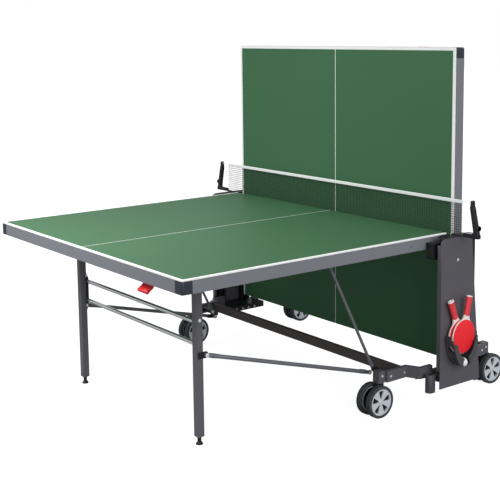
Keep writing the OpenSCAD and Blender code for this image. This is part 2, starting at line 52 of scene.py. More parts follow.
# ---- Where the table stands ----
# A pale studio sweep that lies a hair under the wheels and feet. The room is white all round. Two wide
# far lamps, above and to the right, give the soft modelling, and a near one lights the flat half's end.

def srgb(code):
    """A hex colour as linear red, green, blue and alpha."""
    parts = [int(code[i:i + 2], 16) / 255 for i in (1, 3, 5)]
    return tuple(p / 12.92 if p <= 0.04045 else ((p + 0.055) / 1.055) ** 2.4 for p in parts) + (1.0,)


def add_node(tree, kind, inputs=(), **settings):
    """Adds a node; inputs maps a socket's name or number to a value or to the socket that feeds it."""
    made = tree.nodes.new(kind)
    for key, value in settings.items():
        setattr(made, key, value)
    for key, value in dict(inputs).items():
        if isinstance(value, bpy.types.NodeSocket):
            tree.links.new(value, made.inputs[key])
        else:
            made.inputs[key].default_value = value
    return made


def new_material(name):
    """An empty node tree, and the material's own coordinates in metres."""
    material = bpy.data.materials.new(name)
    material.use_nodes = True
    tree = material.node_tree
    tree.nodes.clear()
    place = add_node(tree, "ShaderNodeTexCoord").outputs["Object"]
    return material, tree, place


def close_material(tree, shader):
    add_node(tree, "ShaderNodeOutputMaterial", {"Surface": shader.outputs[0]})


PAPER_GREY = "#a0a0a0"
PAPER_GLOW = 0.92
SWEEP_SIZE = 60.0
SWEEP_DROP = 0.0006
sweep_mesh = bpy.data.meshes.new("studio_floor")
shape = bmesh.new()
bmesh.ops.create_grid(shape, x_segments=1, y_segments=1, size=SWEEP_SIZE / 2)
bmesh.ops.translate(shape, verts=shape.verts, vec=(0, 0, -SWEEP_DROP))
shape.to_mesh(sweep_mesh)
shape.free()
studio_floor = bpy.data.objects.new("studio_floor", sweep_mesh)
scene.collection.objects.link(studio_floor)
sweep_paper, tree, place = new_material("backlit_studio_paper")
seen = add_node(tree, "ShaderNodeLightPath").outputs["Is Camera Ray"]
glow = add_node(tree, "ShaderNodeMath", {0: seen, 1: PAPER_GLOW}, operation="MULTIPLY")
close_material(tree, add_node(tree, "ShaderNodeBsdfPrincipled", {
    "Base Color": srgb(PAPER_GREY), "Roughness": 0.9, "Specular IOR Level": 0.0,
    "Emission Color": (1, 1, 1, 1), "Emission Strength": glow.outputs[0]}))
sweep_mesh.materials.append(sweep_paper)

ROOM_LIGHT = 0.52
room = bpy.data.worlds.new("white_room")
room.use_nodes = True
room.node_tree.nodes.clear()
seen = add_node(room.node_tree, "ShaderNodeLightPath").outputs["Is Camera Ray"]
level = add_node(room.node_tree, "ShaderNodeMapRange", {"Value": seen, "To Min": ROOM_LIGHT, "To Max": 1.0})
backdrop = add_node(room.node_tree, "ShaderNodeBackground", {
    "Color": (1, 1, 1, 1), "Strength": level.outputs[0]})
add_node(room.node_tree, "ShaderNodeOutputWorld", {"Surface": backdrop.outputs[0]})
scene.world = room


def overhead_lamp(name, towards, power, spread):
    """A far lamp with a wide face, so its shadows are soft and its light doesn't fall off."""
    lamp = bpy.data.lights.new(name, "SUN")
    lamp.energy = power
    lamp.angle = math.radians(spread)
    stand = bpy.data.objects.new(name, lamp)
    stand.rotation_euler = Vector(towards).to_track_quat("-Z", "Y").to_euler()
    scene.collection.objects.link(stand)


overhead_lamp("key_lamp", (0.30, 0.42, -0.85), 0.30, 60)
overhead_lamp("side_lamp", (-0.92, 0.12, -0.36), 1.3, 50)

NET_Y = (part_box("net_tape")[0][1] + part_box("net_tape")[1][1]) / 2
END_LAMP_FROM_NET, END_LAMP_HIGH = 2.0, 1.95
end_light = bpy.data.lights.new("end_lamp", "AREA")
end_light.shape = "SQUARE"
end_light.size = 1.0
end_light.energy = 25
end_lamp = bpy.data.objects.new("end_lamp", end_light)
end_lamp.location = (-0.35, NET_Y - END_LAMP_FROM_NET, END_LAMP_HIGH)
end_lamp.rotation_euler = Vector((0.15, 0.45, -1)).to_track_quat("-Z", "Y").to_euler()
scene.collection.objects.link(end_lamp)

camera = bpy.data.cameras.new("camera")
camera.sensor_width = 36
camera.lens = 75.85
camera.shift_y = -0.15
camera.clip_end = 100
camera_stand = bpy.data.objects.new("camera", camera)
CAMERA_PLACE = Vector((3.81628, -3.36339, 1.63413))
LOOKS_ROUND, LOOKS_DOWN, ROLLS = 53.0, 7.82, -0.68
turned = (Matrix.Rotation(math.radians(LOOKS_ROUND), 4, "Z")
          @ Matrix.Rotation(math.radians(90 - LOOKS_DOWN), 4, "X")
          @ Matrix.Rotation(math.radians(ROLLS), 4, "Z"))
camera_stand.matrix_world = Matrix.Translation(CAMERA_PLACE + Vector((0, NET_Y, 0))) @ turned
scene.collection.objects.link(camera_stand)
scene.camera = camera_stand
scene.view_settings.view_transform = "Standard"


# ---- Undercarriage: arms, cross tubes, foot plates, guides ----
# Welded steel tube and folded plate, powder-coated in one charge: satin, with the faint orange peel
# that the powder leaves as it flows out in the oven.

def dress(material, *names):
    """Gives CAD nodes their finish."""
    for name in names:
        frame["nodes"][name].material_slots[0].material = material


def ease_edges(radius, *names):
    """Rounds the sharp edges of CAD nodes a little, as paint and moulds do."""
    for name in names:
        piece = frame["nodes"][name]
        weld = piece.modifiers.new("join_faces", "WELD")
        weld.merge_threshold = 0.00002
        flat = piece.modifiers.new("flat_faces", "DECIMATE")
        flat.decimate_type = "DISSOLVE"
        flat.angle_limit = math.radians(1.0)
        bevel = piece.modifiers.new("eased_edges", "BEVEL")
        bevel.width = radius
        bevel.segments = 2
        bevel.limit_method = "ANGLE"
        bevel.angle_limit = math.radians(35)
        bevel.harden_normals = True


def powder_coat(name, colour, roughness=0.42, peel_mm=1.6, peel=0.02, lighter=1.08):
    """Baked polyester powder on steel: a satin sheen that wanders a little, over a fine orange peel."""
    material, tree, place = new_material(name)
    cloud = add_node(tree, "ShaderNodeTexNoise", {"Vector": place, "Scale": 3.1, "Detail": 4.0})
    base = srgb(colour)
    tone = add_node(tree, "ShaderNodeMix", {
        "Factor": cloud.outputs["Fac"], "A": base,
        "B": tuple(min(1, c * lighter) for c in base[:3]) + (1,)}, data_type="RGBA")
    grain = add_node(tree, "ShaderNodeTexNoise", {"Vector": place, "Scale": 1000 / peel_mm, "Detail": 2.0})
    bump = add_node(tree, "ShaderNodeBump", {
        "Height": grain.outputs["Fac"], "Strength": peel * 5, "Distance": 0.0002})
    gloss = add_node(tree, "ShaderNodeMapRange", {
        "Value": cloud.outputs["Fac"], "To Min": roughness - 0.05, "To Max": roughness + 0.06})
    close_material(tree, add_node(tree, "ShaderNodeBsdfPrincipled", {
        "Base Color": tone.outputs[2], "Roughness": gloss.outputs[0], "Normal": bump.outputs[0],
        "IOR": 1.5}))
    return material


# The long tubes are a warm anthracite and the arms a neutral one; plates and guides are near black.
chassis_brown = powder_coat("powder_coat_anthracite_brown", "#554d4e")
chassis_grey = powder_coat("powder_coat_anthracite", "#5c5b62")
plate_black = powder_coat("powder_coat_black", "#1c1c1f", roughness=0.38)
dress(chassis_brown, "cross_tubes")
dress(chassis_grey, "side_arms", "castor_housings")
dress(plate_black, "upright_plates", "guide_rails", "strut_stubs", "brackets_a", "brackets_b",
      "leg_hardware_a", "leg_hardware_b")
ease_edges(0.0015, "side_arms", "castor_housings", "cross_tubes")
ease_edges(0.001, "upright_plates", "guide_rails")


# ---- Castors ----
# Twin wheels moulded in two shots: a hard silver nylon disc with five spokes, and a dark grey soft
# tread. Painted shade: a black web behind each disc darkens its spoke windows. The black nylon fork turns on
# a steel stem.

def moulded_plastic(name, colour, roughness=0.5, grain_mm=0.8, depth=0.04, spread=1.12, specular=0.5):
    """Injection-moulded plastic or rubber: the etched mould leaves a light grain and an even sheen."""
    material, tree, place = new_material(name)
    cloud = add_node(tree, "ShaderNodeTexNoise", {"Vector": place, "Scale": 9.0, "Detail": 3.0})
    base = srgb(colour)
    tone = add_node(tree, "ShaderNodeMix", {
        "Factor": cloud.outputs["Fac"], "A": base,
        "B": tuple(min(1, c * spread) for c in base[:3]) + (1,)}, data_type="RGBA")
    grain = add_node(tree, "ShaderNodeTexVoronoi", {"Vector": place, "Scale": 1000 / grain_mm})
    bump = add_node(tree, "ShaderNodeBump", {
        "Height": grain.outputs["Distance"], "Strength": depth * 5, "Distance": 0.0002})
    gloss = add_node(tree, "ShaderNodeMapRange", {
        "Value": cloud.outputs["Fac"], "To Min": roughness - 0.06, "To Max": roughness + 0.06})
    close_material(tree, add_node(tree, "ShaderNodeBsdfPrincipled", {
        "Base Color": tone.outputs[2], "Roughness": gloss.outputs[0], "Normal": bump.outputs[0],
        "IOR": 1.5, "Specular IOR Level": specular}))
    return material


def turned_on_lathe(shape, outline, centre, axis, steps=32, squash=1.0):
    """Turns an outline of (radius, height) pairs into a closed solid that stands along an axis."""
    before = set(shape.verts)
    rim = [shape.verts.new((radius, 0, height)) for radius, height in outline]
    edges = [shape.edges.new(pair) for pair in zip(rim, rim[1:])]
    bmesh.ops.spin(shape, geom=rim + edges, cent=(0, 0, 0), axis=(0, 0, 1), angle=2 * math.pi,
                   steps=steps, use_merge=True)
    made = [v for v in shape.verts if v not in before]
    bmesh.ops.remove_doubles(shape, verts=made, dist=0.00001)
    made = [v for v in shape.verts if v not in before]
    turn = Vector((0, 0, 1)).rotation_difference(Vector(axis)).to_matrix().to_4x4()
    narrow = Matrix.Scale(squash, 4, (1, 0, 0))
    bmesh.ops.transform(shape, matrix=Matrix.Translation(centre) @ turn @ narrow, verts=made)
    return made


def finished(name, shape, material, body, crease=35):
    """Makes a bmesh a piece that rides a body and takes the finish it is given."""
    bmesh.ops.recalc_face_normals(shape, faces=shape.faces)
    mesh = bpy.data.meshes.new(name)
    shape.to_mesh(mesh)
    shape.free()
    mesh.shade_smooth()
    mesh.set_sharp_from_angle(angle=math.radians(crease))
    mesh.materials.append(material)
    piece = bpy.data.objects.new(name, mesh)
    scene.collection.objects.link(piece)
    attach(piece, body)
    return piece


# Black nylon shines a little, the silver nylon is smoother and paler, and the soft tread is dull.
nylon_black = moulded_plastic("moulded_nylon_black", "#121316", roughness=0.4)
nylon_silver = moulded_plastic("moulded_nylon_silver", "#ccd3db", roughness=0.3, depth=0.02)
tread_rubber = moulded_plastic("moulded_tread_rubber", "#3c3f44", roughness=0.62, grain_mm=1.4)
WHEEL_GAP, WHEEL_WIDTH = 0.032, 0.026
WEB_BORE, WEB_RADIUS, WEB_DEPTH, WEB_HALF_THICK = 0.0125, 0.0508, 0.0135, 0.001
for i in range(1, 5):
    dress(nylon_black, f"castor_fork_{i}")
    dress(nylon_silver, f"castor_rims_{i}")
    dress(tread_rubber, f"castor_tyres_{i}")
    ease_edges(0.001, f"castor_fork_{i}")
    low, high = (Vector(corner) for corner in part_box(f"castor_tyres_{i}"))
    axle = (low + high) / 2
    shape = bmesh.new()
    for side in (-1, 1):
        web_at = axle + Vector((side * (WHEEL_GAP / 2 + WHEEL_WIDTH - WEB_DEPTH), 0, 0))
        web = [(WEB_BORE, -WEB_HALF_THICK), (WEB_RADIUS, -WEB_HALF_THICK), (WEB_RADIUS, WEB_HALF_THICK),
               (WEB_BORE, WEB_HALF_THICK), (WEB_BORE, -WEB_HALF_THICK)]
        turned_on_lathe(shape, web, web_at, (side, 0, 0), steps=40)
    # The webs take the black nylon as painted shade, so the spoke windows read dark.
    finished(f"wheel_shade_webs_{i}", shape, nylon_black, f"wheels_{i}")


# ---- Sleeves, carriages and feet ----
# Nylon mouldings: dark grey sleeves on the foot plates, black carriages that ride in the guides, and
# black levelling feet screwed into the legs.

sleeve_grey = moulded_plastic("moulded_nylon_grey", "#4b4b50", roughness=0.46)
dress(sleeve_grey, "foot_sleeves")
dress(nylon_black, "carriages_a", "carriages_b", "feet_a", "feet_b")
ease_edges(0.0008, "foot_sleeves")
ease_edges(0.003, "carriages_a", "carriages_b")


# ---- Side panels ----
# Steel sheet covers with a turned rim, powder-coated a mid grey that is a shade glossier than the arms.

panel_grey = powder_coat("powder_coat_panel_grey", "#5a5960", roughness=0.36, lighter=1.05)
dress(panel_grey, "side_panels")
ease_edges(0.0012, "side_panels")


# ---- Screws and bolts ----
# Steel, barrel-plated with white zinc, which leaves a pale, slightly milky shine.

def bright_metal(name, colour, roughness, streak_mm=0.6, metallic=1.0):
    """Plated steel: pale zinc or mirror chrome."""
    material, tree, place = new_material(name)
    fine = add_node(tree, "ShaderNodeTexNoise", {"Vector": place, "Scale": 1000 / streak_mm, "Detail": 3.0})
    gloss = add_node(tree, "ShaderNodeMapRange", {
        "Value": fine.outputs["Fac"], "To Min": max(0.02, roughness - 0.05), "To Max": roughness + 0.05})
    close_material(tree, add_node(tree, "ShaderNodeBsdfPrincipled", {
        "Base Color": srgb(colour), "Metallic": metallic, "Roughness": gloss.outputs[0]}))
    return material


zinc = bright_metal("white_zinc_plate", "#f6f8fa", 0.42, metallic=0.5)
dress(zinc, "panel_screws", "pivot_bolts_a", "pivot_bolts_b")


# ---- Playing boards ----
# A melamine-faced composite sheet with satin green lacquer, rolled on. White lines are printed 13 mm
# wide along the sides and end, and 3.6 mm wide down the middle, where the thin ink lets some green through.

LINE_WIDTH = 0.013
MIDDLE_LINE = 0.0036
MIDDLE_INK = 0.95
FACE_DEPTH = 0.0005


def board_green(name, node, upright):
    """The lacquered playing surface; its lines lie on the sheet's own edges, on the playing side."""
    material, tree, place = new_material(name)
    low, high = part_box(node)
    split = add_node(tree, "ShaderNodeSeparateXYZ", {"Vector": place})
    across = add_node(tree, "ShaderNodeMath", {0: split.outputs["X"]}, operation="ABSOLUTE")
    side_line = add_node(tree, "ShaderNodeMath", {0: across.outputs[0], 1: high[0] - LINE_WIDTH},
                         operation="GREATER_THAN")
    middle_line = add_node(tree, "ShaderNodeMath", {0: across.outputs[0], 1: MIDDLE_LINE / 2},
                           operation="LESS_THAN")
    if upright:
        end_line = add_node(tree, "ShaderNodeMath", {0: split.outputs["Z"], 1: high[2] - LINE_WIDTH},
                            operation="GREATER_THAN")
        face = add_node(tree, "ShaderNodeMath", {0: split.outputs["Y"], 1: high[1] - FACE_DEPTH},
                        operation="LESS_THAN")
    else:
        end_line = add_node(tree, "ShaderNodeMath", {0: split.outputs["Y"], 1: low[1] + LINE_WIDTH},
                            operation="LESS_THAN")
        face = add_node(tree, "ShaderNodeMath", {0: split.outputs["Z"], 1: low[2] + FACE_DEPTH},
                        operation="GREATER_THAN")
    edges = add_node(tree, "ShaderNodeMath", {0: side_line.outputs[0], 1: end_line.outputs[0]},
                     operation="MAXIMUM")
    faint = add_node(tree, "ShaderNodeMath", {0: middle_line.outputs[0], 1: MIDDLE_INK}, operation="MULTIPLY")
    lines = add_node(tree, "ShaderNodeMath", {0: edges.outputs[0], 1: faint.outputs[0]},
                     operation="MAXIMUM")
    printed = add_node(tree, "ShaderNodeMath", {0: lines.outputs[0], 1: face.outputs[0]},
                       operation="MULTIPLY")
    cloud = add_node(tree, "ShaderNodeTexNoise", {"Vector": place, "Scale": 2.2, "Detail": 3.0})
    green = add_node(tree, "ShaderNodeMix", {
        "Factor": cloud.outputs["Fac"], "A": srgb("#426d4d"), "B": srgb("#467250")}, data_type="RGBA")
    tone = add_node(tree, "ShaderNodeMix", {
        "Factor": printed.outputs[0], "A": green.outputs[2], "B": srgb("#ffffff")}, data_type="RGBA")
    grain = add_node(tree, "ShaderNodeTexNoise", {"Vector": place, "Scale": 900.0, "Detail": 2.0})
    bump = add_node(tree, "ShaderNodeBump", {
        "Height": grain.outputs["Fac"], "Strength": 0.12, "Distance": 0.0002})
    close_material(tree, add_node(tree, "ShaderNodeBsdfPrincipled", {
        "Base Color": tone.outputs[2], "Roughness": 0.5, "Normal": bump.outputs[0], "IOR": 1.5,
        "Specular IOR Level": 0.3, "Specular Tint": srgb("#bfe6c8")}))
    return material


dress(board_green("lacquered_board_flat", "deck_a", False), "deck_a")
dress(board_green("lacquered_board_upright", "deck_b", True), "deck_b")
ease_edges(0.001, "deck_a", "deck_b")


# ---- Rail frames, corner caps and cross members ----
# Rolled steel profile under the board's edge, powder-coated silver grey, with slate moulded caps
# pushed over the corners. A black plug closes the drilling in each side rail.

rail_grey = powder_coat("powder_coat_rail_grey", "#7d7f87", roughness=0.34)
member_grey = powder_coat("powder_coat_member_grey", "#55565b")
cap_blue_grey = moulded_plastic("moulded_cap_slate", "#2c333c", roughness=0.46)
dress(rail_grey, "apron_a", "apron_b")
dress(member_grey, "cross_members_a", "cross_members_b")
dress(cap_blue_grey, "corner_caps_a", "corner_caps_b")
ease_edges(0.002, "apron_a", "apron_b")
ease_edges(0.0015, "corner_caps_a", "corner_caps_b")
ease_edges(0.001, "cross_members_a", "cross_members_b", "brackets_a", "brackets_b")

BOARD_HALF = 0.7625
PLAY_HEIGHT = 0.760
PLUG_FROM_NET = 0.221
PLUG_DOWN = 0.033
places = {j["name"]: Vector(j["pos_m"]) for j in record["behaviour"]["joints"] if "pos_m" in j}
hinge_a, hinge_b = places["fold_a"], places["fold_b"]


def on_board(half, x, along, down):
    """A place on a board: x across, along from the net, down from the playing surface."""
    if half == "a":
        return Vector((x, NET_Y - along, PLAY_HEIGHT - down))
    pin_along, pin_down = hinge_b.y - NET_Y, PLAY_HEIGHT - hinge_a.z
    return Vector((x, hinge_b.y - pin_down + down, hinge_b.z + along - pin_along))


plug_outline = [(0, 0.0006), (0.0028, 0.0006), (0.0034, 0), (0.0034, -0.002), (0, -0.002)]
for half in "ab":
    shape = bmesh.new()
    for side in (-1, 1):
        turned_on_lathe(shape, plug_outline, on_board(half, side * BOARD_HALF, PLUG_FROM_NET, PLUG_DOWN),
                        (side, 0, 0), steps=20)
    finished(f"rail_plugs_{half}", shape, nylon_black, f"board_{half}")


# ---- Legs, crossbars and struts ----
# Square and round steel tube, powder-coated, with mirror-bright chromed crossbars. Strut tubes are
# pressed flat at their eyes, nylon sleeves cover the leg struts' lower ends, and zinc bolt heads show.

leg_grey = powder_coat("powder_coat_leg_grey", "#606066", roughness=0.34)
strut_grey = powder_coat("powder_coat_strut_grey", "#6d6f74", roughness=0.3)
chrome = bright_metal("chrome_plate", "#eceef0", 0.1)
dress(leg_grey, "legs_a", "legs_b")
dress(strut_grey, "struts_a", "struts_b", "leg_struts_a", "leg_struts_b")
dress(chrome, "crossbars_a", "crossbars_b")
ease_edges(0.003, "legs_a", "legs_b")
ease_edges(0.0015, "struts_a", "struts_b", "leg_struts_a", "leg_struts_b", "leg_hardware_a",
           "leg_hardware_b")

STRUT_X, LINK_X = 0.606, 0.4975
STRUT_FOOT = (0.288, 0.173)
LINK_FOOT = (0.286, 0.151)
LINK_FOOT_IN, LINK_HEAD_OUT = 0.022, 0.004
STRUT_RADIUS, LINK_RADIUS = 0.0065, 0.0085
SLEEVE_LENGTH, SLEEVE_RADIUS, SLEEVE_INSET = 0.036, 0.0098, 0.022


def foot_sleeve(shape, start, end, inset, radius):
    """A tapered sleeve over the far end of a tube that runs from start to end."""
    along = (end - start).normalized()
    outline = [(0.0, 0.0), (radius * 0.8, 0.0), (radius, 0.004), (radius, SLEEVE_LENGTH - 0.004),
               (radius - 0.0012, SLEEVE_LENGTH), (0, SLEEVE_LENGTH)]
    turned_on_lathe(shape, outline, end - along * inset, -along, steps=24)


def pressed_end(shape, eye, other, tube_radius):
    """Where a round tube is pressed to the flat of its eye: a short oval taper in the tube's line."""
    along = (other - eye).normalized()
    outline = [(0.0, 0.012), (tube_radius * 1.15, 0.014), (tube_radius * 1.2, 0.030),
               (tube_radius * 1.02, 0.062), (tube_radius * 0.9, 0.070), (0.0, 0.070)]
    before = set(shape.verts)
    turned_on_lathe(shape, outline, (0, 0, 0), (0, 0, 1), steps=24)
    made = [v for v in shape.verts if v not in before]
    for v in made:
        roundness = min(1, max(0, (v.co.z - 0.014) / 0.05))
        v.co.x *= 0.45 + 0.55 * roundness
    frame_turn = Matrix((Vector((1, 0, 0)), along.cross(Vector((1, 0, 0))), along)).transposed().to_4x4()
    bmesh.ops.transform(shape, matrix=Matrix.Translation(eye) @ frame_turn, verts=made)


def bolt_head(shape, centre, axis, radius, height):
    """A domed head on a thin washer."""
    turned_on_lathe(shape, [(0, 0), (radius * 1.35, 0), (radius * 1.35, 0.0012), (radius, 0.0012),
                            (radius * 0.96, height * 0.6), (radius * 0.6, height), (0, height)],
                    centre, axis, steps=20)


LEG_X, LEG_WIDE = 0.475, 0.030
CROSSBAR_HIGH, CROSSBAR_PITCH, GUSSET_ABOVE = 0.493, 0.090, 0.026
LEG_FACE = LEG_X + LEG_WIDE / 2
for half, way in (("a", -1), ("b", 1)):
    ends = bmesh.new()
    heads = bmesh.new()
    for side in (-1, 1):
        upper = places[f"strut_{half}"].copy()
        upper.x = side * STRUT_X
        lower = Vector((side * STRUT_X, NET_Y + way * STRUT_FOOT[0], STRUT_FOOT[1]))
        pressed_end(ends, upper, lower, STRUT_RADIUS)
        pressed_end(ends, lower, upper, STRUT_RADIUS)
        bolt_head(heads, lower - Vector((side * 0.003, 0, 0)), (-side, 0, 0), 0.0065, 0.005)
    finished(f"strut_ends_{half}", ends, strut_grey, f"strut_{half}")
    finished(f"strut_bolts_{half}", heads, zinc, f"strut_{half}")
    sleeves = bmesh.new()
    ends = bmesh.new()
    heads = bmesh.new()
    for side in (-1, 1):
        upper = places[f"leg_strut_{half}"].copy()
        upper.x = side * (LINK_X + LINK_HEAD_OUT)
        lower = Vector((side * (STRUT_X - LINK_FOOT_IN), NET_Y + way * LINK_FOOT[0], LINK_FOOT[1]))
        foot_sleeve(sleeves, upper, lower, SLEEVE_INSET, SLEEVE_RADIUS)
        pressed_end(ends, upper - Vector((side * LINK_HEAD_OUT, 0, 0)), lower, LINK_RADIUS)
        for face in (-1, 1):
            bolt_head(heads, lower + Vector((face * 0.0025, 0, 0)), (face, 0, 0), 0.0062, 0.0045)
    finished(f"leg_strut_sleeves_{half}", sleeves, nylon_black, f"leg_strut_{half}")
    finished(f"leg_strut_ends_{half}", ends, strut_grey, f"leg_strut_{half}")
    finished(f"leg_strut_bolts_{half}", heads, zinc, f"leg_strut_{half}")
    heads = bmesh.new()
    leg_low, leg_high = (Vector(corner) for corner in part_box(f"legs_{half}"))
    leg_y = (leg_low.y + leg_high.y) / 2
    raised = leg_low.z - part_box("legs_a")[0][2]
    outer = way if half == "a" else 1
    for side in (-1, 1):
        for height in (CROSSBAR_HIGH + GUSSET_ABOVE, CROSSBAR_HIGH - CROSSBAR_PITCH - GUSSET_ABOVE):
            bolt_head(heads, (side * (LEG_X - LEG_WIDE / 2 - 0.009), leg_y - way * 0.014 + outer * 0.002,
                              height + raised), (0, outer, 0), 0.0058, 0.0045)
        bolt_head(heads, (side * (LEG_FACE + 0.003), leg_y, CROSSBAR_HIGH + 0.018 + raised),
                  (side, 0, 0), 0.0055, 0.004)
        pivot = places[f"leg_strut_{half}"]
        bolt_head(heads, (side * (LEG_FACE + 0.0155), pivot.y, pivot.z), (side, 0, 0), 0.0068, 0.005)
    finished(f"leg_bolts_{half}", heads, zinc, f"leg_{half}")


# ---- Release handles ----
# Red glass-filled nylon, gate on the underside, with a rounded finger bar moulded along the lip.

signal_red = moulded_plastic("moulded_nylon_red", "#e0242a", roughness=0.3, depth=0.02)
dress(signal_red, "release_handle_a", "release_handle_b")
ease_edges(0.0025, "release_handle_a", "release_handle_b")
HANDLE_X, HANDLE_WIDE, GRIP_RADIUS = 0.486, 0.066, 0.0085
LIP_FROM_NET, LIP_DOWN = 1.362, 0.091
for half in "ab":
    shape = bmesh.new()
    lip = on_board(half, HANDLE_X - HANDLE_WIDE / 2, LIP_FROM_NET, LIP_DOWN)
    outline = [(0, -0.004), (GRIP_RADIUS * 0.6, -0.0028), (GRIP_RADIUS, 0.003),
               (GRIP_RADIUS * 0.94, HANDLE_WIDE / 2), (GRIP_RADIUS, HANDLE_WIDE - 0.003),
               (GRIP_RADIUS * 0.6, HANDLE_WIDE + 0.0028), (0, HANDLE_WIDE + 0.004)]
    turned_on_lathe(shape, outline, lip, (1, 0, 0), steps=28)
    finished(f"release_grip_{half}", shape, signal_red, f"handle_{half}", crease=60)


# ---- Net ----
# Knitted polyester net: a square mesh at 10.4 mm pitch, its thread drawn 2 mm wide, coarser than the
# real 1.2 mm, so that it shows. A folded white cotton tape holds the top cord and is tied to the posts.

net_thread = moulded_plastic("knitted_net_thread", "#1f2a25", roughness=0.8, grain_mm=0.6)
net_low, net_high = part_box("net_mesh")
NET_PITCH, THREAD_WIDTH, THREAD_DEEP = 0.0104, 0.0020, 0.0007
net_width = net_high[0] - net_low[0]
net_drop = net_high[2] - net_low[2]
columns, rows = round(net_width / NET_PITCH), round(net_drop / NET_PITCH)
shape = bmesh.new()
bmesh.ops.create_grid(shape, x_segments=columns, y_segments=rows, size=0.5)
bmesh.ops.scale(shape, vec=(net_width, net_drop, 1), verts=shape.verts)
inset = bmesh.ops.inset_individual(shape, faces=list(shape.faces), thickness=THREAD_WIDTH / 2)
bmesh.ops.delete(shape, geom=[f for f in shape.faces if f not in set(inset["faces"])], context="FACES")
bmesh.ops.rotate(shape, cent=(0, 0, 0), matrix=Matrix.Rotation(math.radians(90), 3, "X"),
                 verts=shape.verts)
bmesh.ops.translate(shape, verts=shape.verts, vec=(
    (net_low[0] + net_high[0]) / 2, NET_Y + THREAD_DEEP / 2, (net_low[2] + net_high[2]) / 2))
net_cloth = finished("net_cloth", shape, net_thread, "base")
thread = net_cloth.modifiers.new("thread", "SOLIDIFY")
thread.thickness = THREAD_DEEP
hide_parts("net_mesh")

tape_cloth, tree, place = new_material("woven_cotton_tape")
TAPE_THREAD_MM = 0.9
weave = add_node(tree, "ShaderNodeTexWave", {"Vector": place, "Scale": 1000 / TAPE_THREAD_MM / 6.28},
                 wave_type="BANDS", bands_direction="X")
cross_weave = add_node(tree, "ShaderNodeTexWave", {"Vector": place, "Scale": 1000 / TAPE_THREAD_MM / 6.28},
                       wave_type="BANDS", bands_direction="Z")
woven = add_node(tree, "ShaderNodeMath", {0: weave.outputs["Fac"], 1: cross_weave.outputs["Fac"]},
                 operation="MAXIMUM")
bump = add_node(tree, "ShaderNodeBump", {"Height": woven.outputs[0], "Strength": 0.5, "Distance": 0.0003})
shade = add_node(tree, "ShaderNodeMix", {
    "Factor": woven.outputs[0], "A": srgb("#e6eaea"), "B": srgb("#fbfcfc")}, data_type="RGBA")
close_material(tree, add_node(tree, "ShaderNodeBsdfPrincipled", {
    "Base Color": shade.outputs[2], "Roughness": 0.85, "Normal": bump.outputs[0], "IOR": 1.5,
    "Sheen Weight": 0.3}))

tape_low, tape_high = (Vector(corner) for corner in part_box("net_tape"))
shape = bmesh.new()
bmesh.ops.create_cube(shape, size=1)
bmesh.ops.scale(shape, vec=tape_high - tape_low, verts=shape.verts)
bmesh.ops.translate(shape, vec=(tape_low + tape_high) / 2, verts=shape.verts)
bmesh.ops.bevel(shape, geom=[e for e in shape.edges if abs((e.verts[0].co - e.verts[1].co).x) > 0.5],
                affect="EDGES", offset=0.0013, segments=3, profile=0.5, material=-1)
bmesh.ops.subdivide_edges(shape, cuts=60, edges=[
    e for e in shape.edges if abs((e.verts[0].co - e.verts[1].co).x) > 0.5])
net_tape = finished("net_tape_woven", shape, tape_cloth, "base")
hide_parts("net_tape")

shape = bmesh.new()
CORD_RADIUS, CORD_HIDDEN = 0.0016, 0.004
POST_TOP_X, POST_FOOT_X = 0.898, 0.912
for side in (-1, 1):
    for height, reach in ((tape_high.z - 0.0045, POST_TOP_X), (net_low[2] + 0.012, POST_FOOT_X)):
        start = side * (tape_high.x - CORD_HIDDEN)
        length = reach - tape_high.x + CORD_HIDDEN
        turned_on_lathe(shape, [(0, 0), (CORD_RADIUS, 0), (CORD_RADIUS, length), (0, length)],
                        (start, NET_Y, height), (side, 0, 0), steps=12)
net_cords = finished("net_cords", shape, tape_cloth, "base")

dress(nylon_black, "net_posts", "net_knob_near", "net_knob_far")
ease_edges(0.0025, "net_posts")
KNOB_THICK, KNOB_FLUTES = 0.0054, 12
for side, end in ((1, "near"), (-1, "far")):
    low, high = (Vector(corner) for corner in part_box(f"net_knob_{end}"))
    shape = bmesh.new()
    outer_face = high.x if side > 0 else low.x
    middle = (low + high) / 2
    knob_radius = (high.z - low.z) / 2
    grip = [(0, 0.0), (knob_radius * 0.8, 0.0), (knob_radius * 1.02, 0.001),
            (knob_radius * 1.02, 0.0045), (knob_radius * 0.85, KNOB_THICK), (0, KNOB_THICK)]
    for v in turned_on_lathe(shape, grip, (0, 0, 0), (0, 0, 1), steps=36):
        if v.co.xy.length > knob_radius * 0.95:
            v.co.xy *= 1 + 0.05 * math.cos(KNOB_FLUTES * math.atan2(v.co.y, v.co.x))
    turn = Vector((0, 0, 1)).rotation_difference(Vector((side, 0, 0))).to_matrix().to_4x4()
    bmesh.ops.transform(shape, matrix=Matrix.Translation((outer_face - side * KNOB_THICK, middle.y, middle.z))
                        @ turn, verts=shape.verts)
    finished(f"knob_grip_{end}", shape, nylon_black, f"net_knob_{end}")


# ---- Bats, ball and their holder ----
# The holder is grey ABS screwed to the near panel, its arms stepped down towards the front. The bats
# are moulded: a pale blade and neck, red dimpled rubber, and a ribbed red grip with a white end cap.

